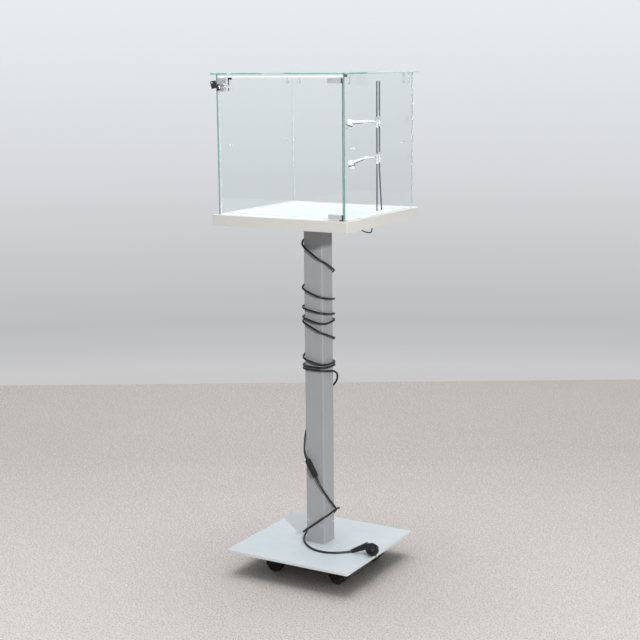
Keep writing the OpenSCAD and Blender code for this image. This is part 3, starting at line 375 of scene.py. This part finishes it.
Mat("lamp_metal", srgb(226, 228, 231), 0.15, 0.8).tint(0.08, 120).gloss(0.05, 300).grain(1500, 0.00001)
(Mat("lamp_white", srgb(214, 216, 218), 0.26, Coat_Weight=0.3, Coat_Roughness=0.08).tint(0.05, 80).gloss(0.06, 200)
 .grain(1500, 0.00002))
# painted shade: the grey of the lamps' down-facing faces and of the ring just above each lens
Mat("lamp_painted_shade", srgb(64, 67, 69), 0.4).tint(0.2, 140).gloss(0.08, 260).grain(1800, 0.00003)
# plastics
# the header rail glows faintly: painted light on a part that is no lamp
(Mat("rail_white", srgb(250, 251, 251), 0.35, Emission_Strength=0.12).tint(0.03, 30).gloss(0.07, 120)
 .grain(1200, 0.00003))
Mat("black_plastic", srgb(22, 22, 23), 0.4).tint(0.25, 90).gloss(0.1, 160).grain(2400, 0.00004)
Mat("black_paint", srgb(20, 20, 21), 0.38).tint(0.25, 90).gloss(0.09, 140).grain(1400, 0.00003)
Mat("screw_black", srgb(40, 40, 42), 0.34, 0.7).tint(0.2, 300).gloss(0.1, 400).grain(2600, 0.00002)
Mat("slider_black", srgb(38, 40, 41), 0.42).tint(0.2, 200).gloss(0.1, 260).grain(2600, 0.00004)
(Mat("cord_black", srgb(15, 16, 18), 0.42).tint(0.25, 45).tint(0.1, 260, 4, towards=srgb(48, 50, 52))
 .gloss(0.09, 70).grain(900, 0.00005))
(Mat("plug_black", srgb(18, 20, 22), 0.36).tint(0.2, 70).tint(0.1, 240, 4, towards=srgb(46, 49, 51))
 .gloss(0.1, 110).grain(2600, 0.00005))
Mat("led_board", srgb(238, 236, 214), 0.45).tint(0.1, 200).gloss(0.08, 300).grain(2000, 0.00003)
(Mat("diffuser_white", srgb(246, 247, 248), 0.3, Emission_Strength=0.35, Emission_Color=(1, 0.99, 0.97, 1))
 .tint(0.03, 60).gloss(0.06, 200).grain(1400, 0.00003))
(Mat("lens_glow", srgb(204, 210, 210), 0.34, Transmission_Weight=0.35, Emission_Strength=0.06,
     Emission_Color=(1, 0.985, 0.95, 1)).tint(0.08, 300).gloss(0.06, 500).grain(1800, 0.0001))
(Mat("stud_clear", srgb(228, 238, 236), 0.14, Transmission_Weight=0.6).tint(0.06, 200).gloss(0.06, 300)
 .grain(1500, 0.00002))

# glass: faces, polished edges and their arrises
face = Mat("glass", (0.972, 0.996, 0.991), 0.012, Transmission_Weight=1.0, IOR=1.5)
face.tint(0.35, 14, 5, (1, 1, 0.3), towards=(0.955, 0.985, 0.982))
face.link(face.span(face.noise(22, 5, (1, 1, 0.2)), 0.5, 0.8, 0.004, 0.05), face.b.inputs["Roughness"])
face.clear_for_lamps()
# a wall's polished front edge runs from pale inside to deep green at the outer arris
WALL_INSIDE, WALL_OUTSIDE = 0.1955, 0.1985
edge = Mat("glass_edge", srgb(120, 205, 190), 0.12, Transmission_Weight=0.25, IOR=1.5)
deep = edge.blend(edge.span(edge.noise(26, 3, (1, 1, 0.4)), 0.35, 0.7, 0, 1), srgb(96, 176, 162), srgb(122, 198, 184))
outward = edge.span(edge.calc("ABSOLUTE", edge.axis(0)), WALL_INSIDE, WALL_OUTSIDE, 0, 1)
edge.paint(edge.blend(outward, srgb(204, 240, 231), deep)).gloss(0.08, 90).grain(300, 0.00003)
# the lid's edge: green, with painted highlights: pale along its top arris, and bright where it catches a lamp
RIM_HALF = 423  # millimetres of x + y from the lid's middle to its far corner
# the painted highlight's strength along the rim, by x + y in millimetres
RIM_PAINTED_HIGHLIGHT = ((-423, 0.05), (-370, 0.05), (-366, 1), (-358, 1), (-353, 0.1), (-265, 0.15), (-250, 0.8), (-195, 0.8),
             (-180, 0.15), (-5, 0.2), (4, 0.4), (14, 0.4), (20, 0), (112, 0), (122, 0.7), (186, 0.75), (196, 0.92),
             (423, 0.92))
rim = Mat("glass_edge_lid", srgb(120, 205, 190), 0.12, Transmission_Weight=0.2, IOR=1.5)
lid_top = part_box("glass_lid")[1].z
painted_highlight = rim.ramp(rim.span(rim.calc("ADD", rim.axis(0), rim.axis(1)), -RIM_HALF / 1000, RIM_HALF / 1000, 0, 1),
                 [((at + RIM_HALF) / (2 * RIM_HALF), (value, value, value)) for at, value in RIM_PAINTED_HIGHLIGHT], "EASE")
rim.paint(rim.blend(rim.span(rim.axis(2), lid_top - 0.0035, lid_top - 0.0015, 0, 1),
                    rim.blend(painted_highlight, srgb(74, 158, 146), srgb(222, 243, 240)),
                    rim.blend(painted_highlight, srgb(176, 232, 226), srgb(240, 252, 250)))).gloss(0.06, 90).grain(300, 0.00002)
(Mat("glass_arris", srgb(196, 240, 232), 0.3, Transmission_Weight=0.2, IOR=1.5)
 .tint(0.8, 60, 3, towards=srgb(150, 220, 208)).gloss(0.1, 200))
(Mat("glass_edge_pale", srgb(196, 222, 217), 0.1, Transmission_Weight=0.7, IOR=1.5)
 .tint(0.5, 4, 2, (1, 1, 0.3), towards=srgb(182, 212, 205)).gloss(0.04, 60).clear_for_lamps())
(Mat("glass_arris_pale", srgb(214, 234, 230), 0.25, Transmission_Weight=0.75, IOR=1.5)
 .tint(0.4, 6, 2, (1, 1, 0.3), towards=srgb(196, 220, 215)).gloss(0.06, 80).clear_for_lamps())


# Pieces from the CAD's nodes ------------------------------------------------
MERGE = 2e-6              # metres within which a mesh's points are one
FLAT = math.radians(0.4)  # faces that differ by less than this in direction are one
PANE_PLAY = 0.0001        # a pane is so much smaller than its node, half of it on each side
FACING = 0.9              # a face looks along an axis from this part of its normal on

SLOT_OF = {node: ob.material_slots[0].material.name.split(".")[0] for node, ob in NODES.items() if ob.material_slots}


def clean(node):
    """A node's mesh with its flat faces whole again, as a bmesh."""
    bm = bmesh.new()
    bm.from_mesh(NODES[node].data)
    bmesh.ops.remove_doubles(bm, verts=bm.verts, dist=MERGE)
    bmesh.ops.dissolve_limit(bm, angle_limit=FLAT, verts=bm.verts, edges=bm.edges)
    bm.normal_update()
    return bm


def piece(bm, name, body, mats, slot, bevel=0.0, segments=2, edge_mat=None, angle=32, flat=False):
    """Makes an object of a bmesh, rides it on a body and rounds its sharp edges."""
    me = bpy.data.meshes.new(name)
    bm.to_mesh(me)
    bm.free()
    for p in me.polygons:
        p.use_smooth = not flat
    for m in mats:
        me.materials.append(M[m])
    ob = bpy.data.objects.new(name, me)
    scene.collection.objects.link(ob)
    if bevel:
        mod = ob.modifiers.new("rounding", "BEVEL")
        mod.width = bevel
        mod.segments = segments
        mod.limit_method = "ANGLE"
        mod.angle_limit = math.radians(angle)
        if edge_mat:
            me.materials.append(M[edge_mat])
            mod.material = len(mats)
        if not flat:
            ob.modifiers.new("shading", "WEIGHTED_NORMAL").weight = 100
    else:
        me.set_sharp_from_angle(angle=math.radians(angle))
    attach(ob, body)
    return ob


def instead(node, bm, name, mats, *rounding, **how):
    """Makes a piece that stands for a node, on its body."""
    ob = piece(bm, name, BODY_OF[node], mats, SLOT_OF[node], *rounding, **how)
    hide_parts(node)
    return ob


def finish_node(node, bevel, mat=None, segments=2, edge_mat=None):
    """Replaces a node with the same shape, its edges rounded."""
    return instead(node, clean(node), node + "_finished", [mat or SLOT_OF[node]], bevel, segments, edge_mat)


def pane(node, thin, front_mat, edge_mat, arris_mat):
    """A glass pane: clear faces across the axis called thin, polished edges, ground arrises."""
    bm = clean(node)
    lo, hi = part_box(node)
    mid, size = (lo + hi) / 2, hi - lo
    for v in bm.verts:
        for i in range(3):
            v.co[i] = mid[i] + (v.co[i] - mid[i]) * (1 - PANE_PLAY / size[i])
    for f in bm.faces:
        f.material_index = 0 if abs(f.normal[thin]) > FACING else 1 if f.normal.y < -FACING else 2
    instead(node, bm, node + "_pane", ["glass", front_mat, edge_mat], 0.0005, 1, arris_mat, flat=True)


pane("glass_left", 0, "glass_edge", "glass_edge_pale", "glass_arris_pale")
pane("glass_right", 0, "glass_edge", "glass_edge_pale", "glass_arris_pale")
pane("glass_back", 1, "glass_edge_pale", "glass_edge_pale", "glass_arris_pale")
pane("glass_lid", 2, "glass_edge_lid", "glass_edge_lid", "glass_arris")
pane("door_glass", 1, "glass_edge_pale", "glass_edge_pale", "glass_arris_pale")

for node, ob in NODES.items():
    for s in ob.material_slots:
        s.material = M["stud_clear"] if node == "shelf_studs" else M.get(SLOT_OF[node], M["black_plastic"])

# the plate's rounded edges take the painted highlight
base = finish_node("base_plate", 0.0012, "plate_paint", 3, "plate_edge").data
# its down-facing faces take the underside's painted shade
base.materials.append(M["plate_under_shade"])
for p in base.polygons:
    if p.normal.z < -FACING:
        p.material_index = len(base.materials) - 1
finish_node("deck_edging", 0.0008, "edging_beige", 2, "edging_arris")
finished = {node: finish_node(node, bevel, mat) for node, bevel, mat in (
    ("lock_body", 0.0009, "satin_bright"), ("hinge_clamps", 0.0006, "satin_bright"),
    ("lid_clips", 0.0004, "clip_bright"), ("header_rail", 0.0005, None), ("lock_back_plate", 0.0005, None),
    ("driver_case", 0.002, None), ("inline_switch", 0.0012, "plug_black"), ("switch_slider", 0.0005, None),
    ("key_bow", 0.0006, None), ("key_blade", 0.0002, None), ("rod_terminals", 0.0008, None),
    ("hinge_end_caps", 0.0005, None))}


# Moulded and turned pieces --------------------------------------------------
def lathe(bm, profile, at, axis, sides=36):
    """Adds a closed surface of revolution, in millimetres.

    profile: rows of distance along the axis, radius, and the material index from there to the next row (0 if left out).
    """
    at, spin = Vector(at), Vector(axis).normalized().to_track_quat("Z", "Y").to_matrix()
    rings = []
    for row in profile:
        turns = [2 * math.pi * k / sides for k in range(sides if row[1] else 1)]
        rings.append([bm.verts.new((at + spin @ Vector((row[1] * math.cos(w), row[1] * math.sin(w), row[0]))) / 1000)
                      for w in turns])
    for row, a, b in zip(profile, rings, rings[1:]):
        for k in range(sides):
            j = (k + 1) % sides
            loop = [a[k % len(a)], a[j % len(a)], b[j % len(b)], b[k % len(b)]]
            bm.faces.new(list(dict.fromkeys(loop))).material_index = row[2] if len(row) > 2 else 0


def ribbed(length, r0, r1, rib=2.4, depth=0.5, plain=4):
    """The profile of a tapered strain relief: a plain root, then ribs down to the lead."""
    rows = [(0, 0), (0, r0 - 0.4), (0.4, r0)]
    z = plain
    while z < length - rib:
        rows += [(z + d, r0 + (r1 - r0) * (z + d) / length - cut) for d, cut in
                 ((0, 0), (0.3, depth), (rib * 0.4, depth), (rib * 0.4 + 0.3, 0))]
        z += rib
    return rows + [(length - 0.3, r1), (length, r1 - 0.3), (length, 0)]


def sleeve(bm, points, radii, sides=24):
    """Adds a closed tube round a stretch of a lead, in millimetres."""
    rings, across = [], Vector((0, 1, 0.1))
    for i, p in enumerate(points):
        t = (points[min(i + 1, len(points) - 1)] - points[max(i - 1, 0)]).normalized()
        across = (across - t * across.dot(t)).normalized()
        other = t.cross(across)
        rings.append([bm.verts.new((p + radii[i] * (math.cos(w) * across + math.sin(w) * other)) / 1000)
                      for w in (2 * math.pi * k / sides for k in range(sides))])
    for a, b in zip(rings, rings[1:]):
        for k in range(sides):
            j = (k + 1) % sides
            bm.faces.new((a[k], a[j], b[j], b[k]))
    bm.faces.new(rings[0][::-1])
    bm.faces.new(rings[-1])


bm = bmesh.new()
lathe(bm, ribbed(23, 6.5, 4.1), (45, 104, 1010), (0, -1, 0))
lathe(bm, ribbed(9, 4, 2.4, 1.6, 0.3, 2), (70, 126, 1008), (1, 0, 0), 28)
instead("driver_gland", bm, "driver_reliefs", ["plug_black"])

# a domed collar round the lock's barrel, on the face of the lock's body
BARREL_OUT = 6.7  # the barrel stands out so far from that face
lock = NODES["lock_body"]
lock_face = min((lock.matrix_world @ Vector(corner) * 1000).y for corner in lock.bound_box) + BARREL_OUT
bm = bmesh.new()
lathe(bm, [(-0.3, 8.1), (-0.3, 11.2), (1, 11.2), (1.6, 10.9), (3.2, 10.2), (4.4, 9.2), (4.8, 8.6), (4.8, 8.1),
           (-0.3, 8.1)], (-171, lock_face, 1400.5), (0, -1, 0), 48)
bmesh.ops.remove_doubles(bm, verts=bm.verts, dist=MERGE)
piece(bm, "lock_collar", "door", ["chrome"], SLOT_OF["lock_body"])

# the switch's strain reliefs follow the lead from both ends
RELIEF_LONG, RELIEF_IN = 21, 1.5
bm = bmesh.new()
for end, step in ((switch_ends[0], -1), (switch_ends[1], 1)):
    near = min(range(len(mains_points)), key=lambda i: (mains_points[i] - end).length)
    run, length = [end - step * RELIEF_IN * switch_dir, end], RELIEF_IN
    while length < RELIEF_LONG:
        near += step
        hop = (mains_points[near] - run[-1]).length
        if hop > 0.5 and (mains_points[near] - end).dot(switch_dir) * step > 0:
            length += hop
            run.append(mains_points[near])
    fine = smooth(run, 1.2)
    sleeve(bm, fine, [4.3 - 0.9 * i / (len(fine) - 1) - (0.3 if i % 2 and i > 2 else 0) for i in range(len(fine))])
switch_reliefs = piece(bm, "switch_reliefs", "stand", ["plug_black"], SLOT_OF["inline_switch"])

# the plug: a body with flats and a ridge along its back, and a ribbed neck that covers the lead's last bend
PLUG_AT = Vector((196, -47, 95.2))
PINS_DIR = Vector((0.15994, 0.699426, -0.696579))
PLUG_RIM = ((17.5, 7.5), (7.5, 17.5), (-7.5, 17.5), (-17.5, 7.5), (-17.5, -7.5), (-7.5, -17.5), (7.5, -17.5),
            (17.5, -7.5))
RIDGE_FROM = -3  # the body's ridge joins the neck from this depth on
plug_side = neck_dir.cross(PINS_DIR)
bm = bmesh.new()
spots = {}
for depth, across, along in ((-13, 0.62, 0.12), (-8, 0.86, 0.78), (-3, 0.97, 0.97), (8, 1, 1), (12, 0.92, 0.92)):
    for x, y in PLUG_RIM:
        spots[depth, x, y] = (PLUG_AT + across * x * plug_side + along * y * neck_dir + depth * PINS_DIR) / 1000
round_neck = [(PLUG_NECK_END - 9 * neck_dir + 9.6 * (math.cos(w) * plug_side + math.sin(w) * PINS_DIR)) / 1000
              for w in (math.pi * k / 5 for k in range(10))]
for hull in (list(spots.values()), round_neck + [v for (depth, x, y), v in spots.items() if depth <= RIDGE_FROM]):
    bmesh.ops.convex_hull(bm, input=[bm.verts.new(v) for v in hull])
bmesh.ops.dissolve_limit(bm, angle_limit=math.radians(4), verts=bm.verts, edges=bm.edges)
lathe(bm, ribbed((PLUG_NECK_END - PLUG_ENTRY).length + 6, 10.4, 5.8, 3.6, 0.7, 14), PLUG_NECK_END, -neck_dir)
bm.normal_update()
plug = instead("plug_body", bm, "plug_moulded", ["plug_black"], 0.0011, angle=14)

# the lamps: a ball-shaped head with its lens, on a tapered neck; their down-facing faces and the head's ring are grey,
# painted shade
# the head's rows of material 1, the ring just above the lens, take the grey painted shade
HEAD = [(-9.5, 0), (-9.2, 2.4), (-8.2, 4.8), (-6.7, 6.7), (-4.7, 8.3), (-2.4, 9.2), (0, 9.5), (3, 9.6), (5.9, 9.3),
        (6.1, 9.1, 1), (6.4, 9.9, 1), (8.9, 9.9, 1), (9.2, 9.5, 1), (9.2, 0)]
LENS = [(9, 0), (9, 8.8), (10.4, 8.8), (10.6, 8.6), (10.9, 8.8), (12.4, 8.8), (12.6, 8.6), (12.9, 8.8), (15.6, 8.6),
        (17.4, 7.9), (18.5, 6.6), (18.9, 5), (18.6, 3.4), (18, 1.6), (17.8, 0)]
SHADE_BELOW = -0.45  # a face's normal points down past this where it gets the grey painted shade
SLIVER = 1e-7      # square metres; an arm's smaller faces stay white, without the painted shade
SLEEVE_HALF, RODS_APART = 14, 15
WHITE, SHADE_GREY, METAL = 0, 1, 2
for i, tip in ((1, math.radians(18)), (2, math.radians(-18))):
    elbow, pivot = (Vector(JOINTS[f"lamp_{i}_{end}"]["pos_m"]) * 1000 for end in ("elbow", "tilt"))
    out, down = (pivot - elbow).normalized(), Vector((-math.sin(tip), 0, -math.cos(tip)))
    reach = (pivot - elbow).length

    bm = bmesh.new()
    lathe(bm, [(0, 0), (0, 3.4), (0.6, 4), (4.7, 4), (5.3, 3.4), (5.3, 0)], elbow + Vector((0, -2.3, 0)), (0, 1, 0), 28)
    lathe(bm, [(0, 0), (0, 1.1), (0.4, 1.5), (5, 1.5), (5, 0)], elbow + Vector((0, -6.4, 0)), (0, 1, 0), 20)
    lathe(bm, [(2, 0), (2, 2.4), (5, 3), (9, 4), (reach - 15.5, 5), (reach - 15, 5.6), (reach - 10, 5.6),
               (reach - 9.7, 5.3), (reach - 10.3, 4.2), (reach - 11, 2), (reach - 11.2, 0)], elbow, out)
    for f in bm.faces:
        f.normal_update()
        f.material_index = SHADE_GREY if f.normal.z < SHADE_BELOW and f.calc_area() > SLIVER else WHITE
    instead(f"lamp_arm_{i}", bm, f"lamp_arm_{i}_turned", ["lamp_white", "lamp_painted_shade"])

    bm = clean(f"lamp_slider_{i}")
    # the slider's down-facing faces take the grey painted shade
    for f in bm.faces:
        f.material_index = SHADE_GREY if f.normal.z < SHADE_BELOW else WHITE
    rod_x = JOINTS[f"lamp_{i}_slide"]["pos_m"][0] * 1000
    for y, lift in ((pivot.y, -1.5), (pivot.y + RODS_APART, 1.5)):
        low, top = lift - SLEEVE_HALF, lift + SLEEVE_HALF
        rows = [(low, 2.5), (low, 4.6), (low + 0.4, 5), (low + 3.6, 5), (low + 3.9, 4.7), (top - 3.9, 4.7),
                (top - 3.6, 5), (top - 0.4, 5), (top, 4.6), (top, 2.5), (low, 2.5)]
        lathe(bm, [(z, r, METAL) for z, r in rows], (rod_x, y, elbow.z), (0, 0, 1), 28)
    bmesh.ops.remove_doubles(bm, verts=bm.verts, dist=MERGE)
    instead(f"lamp_slider_{i}", bm, f"lamp_slider_{i}_turned", ["lamp_white", "lamp_painted_shade", "lamp_metal"])

    bm = bmesh.new()
    lathe(bm, HEAD, pivot, down)
    instead(f"lamp_head_{i}", bm, f"lamp_head_{i}_turned", ["lamp_white", "lamp_painted_shade"])
    bm = bmesh.new()
    lathe(bm, LENS, pivot, down)
    instead(f"lamp_lens_{i}", bm, f"lamp_lens_{i}_turned", ["lens_glow"])

mains.data.materials.append(M["cord_black"])
lamp_wire.data.materials.append(M["cord_black"])


# Floor, backdrop and light --------------------------------------------------
stone = Mat("floor", srgb(203, 198, 193), 0.75)
# paler towards the front: painted light, as if the floor were lit more brightly nearer the front
painted_light_near = stone.blend(stone.span(stone.along(FRONT), -1.2, 0.6, 0, 1), srgb(202, 194, 188), srgb(242, 233, 226))
cloudy = stone.blend(stone.span(stone.noise(3, 3), 0.35, 0.7, 0, 0.1), painted_light_near, srgb(222, 212, 206))
light_specks = stone.span(stone.noise(180, 2), 0.57, 0.64, 0, 1)
dark_specks = stone.span(stone.noise(230, 2), 0.56, 0.63, 0, 0.8)
stone.paint(stone.blend(dark_specks, stone.blend(light_specks, cloudy, srgb(255, 250, 245)), srgb(166, 152, 145)))
stone.grain(420, 0.0002)

FLOOR_FAR, FLOOR_NEAR, FLOOR_SIDE = 2.32, -9, 7  # metres from the post along the view, and across it
facing = Matrix.Rotation(VIEW_AZ, 4, "Z")
bm = bmesh.new()
bm.faces.new([bm.verts.new(facing @ Vector((x, y, 0))) for x, y in (
    (-FLOOR_SIDE, FLOOR_FAR), (-FLOOR_SIDE, FLOOR_NEAR), (FLOOR_SIDE, FLOOR_NEAR), (FLOOR_SIDE, FLOOR_FAR))])
me = bpy.data.meshes.new("floor")
bm.to_mesh(me)
bm.free()
floor = bpy.data.objects.new("floor", me)
me.materials.append(M["floor"])
scene.collection.objects.link(floor)

# the backdrop's tone by elevation in degrees
BACKDROP = ((-13.3005, (202, 201, 201)), (-12.6684, (203, 203, 204)), (-12.0358, (197, 197, 199)),
            (-10.77, (189, 190, 192)), (-7.3978, (203, 204, 206)), (-4.0487, (216, 218, 221)),
            (-0.7451, (226, 229, 232)), (2.2925, (232, 235, 240)))
RAMP_LOW, RAMP_HIGH = -0.24, 0.06
world = bpy.data.worlds.new("studio")
scene.world = world
studio = Tree(world, "ShaderNodeOutputWorld", "Generated")
path = studio.node("ShaderNodeLightPath").outputs
height = studio.axis(2)
backdrop = studio.ramp(studio.span(height, RAMP_LOW, RAMP_HIGH, 0, 1), [
    ((math.sin(math.radians(e)) - RAMP_LOW) / (RAMP_HIGH - RAMP_LOW), srgb(*colour)) for e, colour in BACKDROP])
# bright metal also mirrors the darker side of the room, low down and away from the backdrop
mirrored = studio.calc("MULTIPLY", path["Is Glossy Ray"], studio.span(path["Is Transmission Ray"], 0, 1, 1, 0))
aside = studio.calc("MULTIPLY", studio.span(studio.along(FRONT), -0.85, -0.5, 0, 1),
                    studio.span(height, 0.4, 0.65, 1, 0))
room = studio.blend(studio.calc("MULTIPLY", aside, mirrored), backdrop, srgb(150, 153, 156))
seen = studio.calc("MAXIMUM", studio.calc("MAXIMUM", path["Is Camera Ray"], path["Is Glossy Ray"]),
                   path["Is Transmission Ray"])
# what lights the inside of the case comes through its glass, and is the studio's light, not the backdrop
shown = studio.calc("MULTIPLY", seen, studio.calc("LESS_THAN", path["Diffuse Depth"], 0.5))
fill = studio.node("ShaderNodeBackground", {"Color": (0.93, 0.97, 1, 1),
                                            "Strength": studio.span(height, 0, 0.5, 0.05, 0.5)})
walls = studio.node("ShaderNodeBackground", {"Color": room})
either = studio.node("ShaderNodeMixShader", {0: shown, 1: fill.outputs[0], 2: walls.outputs[0]})
studio.link(either.outputs[0], studio.out.inputs[0])


LAMP_AWAY = 5.0  # metres from what a lamp aims at


def softbox(name, azimuth, elevation, side, watts, aim):
    """A square lamp in a direction in degrees; side and aim are in metres."""
    light = bpy.data.lights.new(name, "AREA")
    light.size = side
    light.energy = watts
    ob = bpy.data.objects.new(name, light)
    away = bearing(math.radians(azimuth), math.radians(elevation))
    ob.location = Vector(aim) + away * LAMP_AWAY
    ob.rotation_mode = "QUATERNION"
    ob.rotation_quaternion = away.to_track_quat("Z", "Y")
    ob.visible_transmission = False  # the panes let its light in once, as shadow rays do
    scene.collection.objects.link(ob)
    return ob


key = softbox("key", 49, 16, 0.22, 180, (0, 0, 0.95))
softbox("overhead", 210, 82, 4.5, 188, (0, 0, 1.0))
# the key lights the object alone, so that the floor keeps the soft shadow from above
lit = bpy.data.collections.new("lit_by_key")
for ob in bpy.data.objects:
    if ob.type in ("MESH", "CURVE") and ob != floor:
        lit.objects.link(ob)
key.light_linking.receiver_collection = lit

scene.view_settings.view_transform = "Standard"
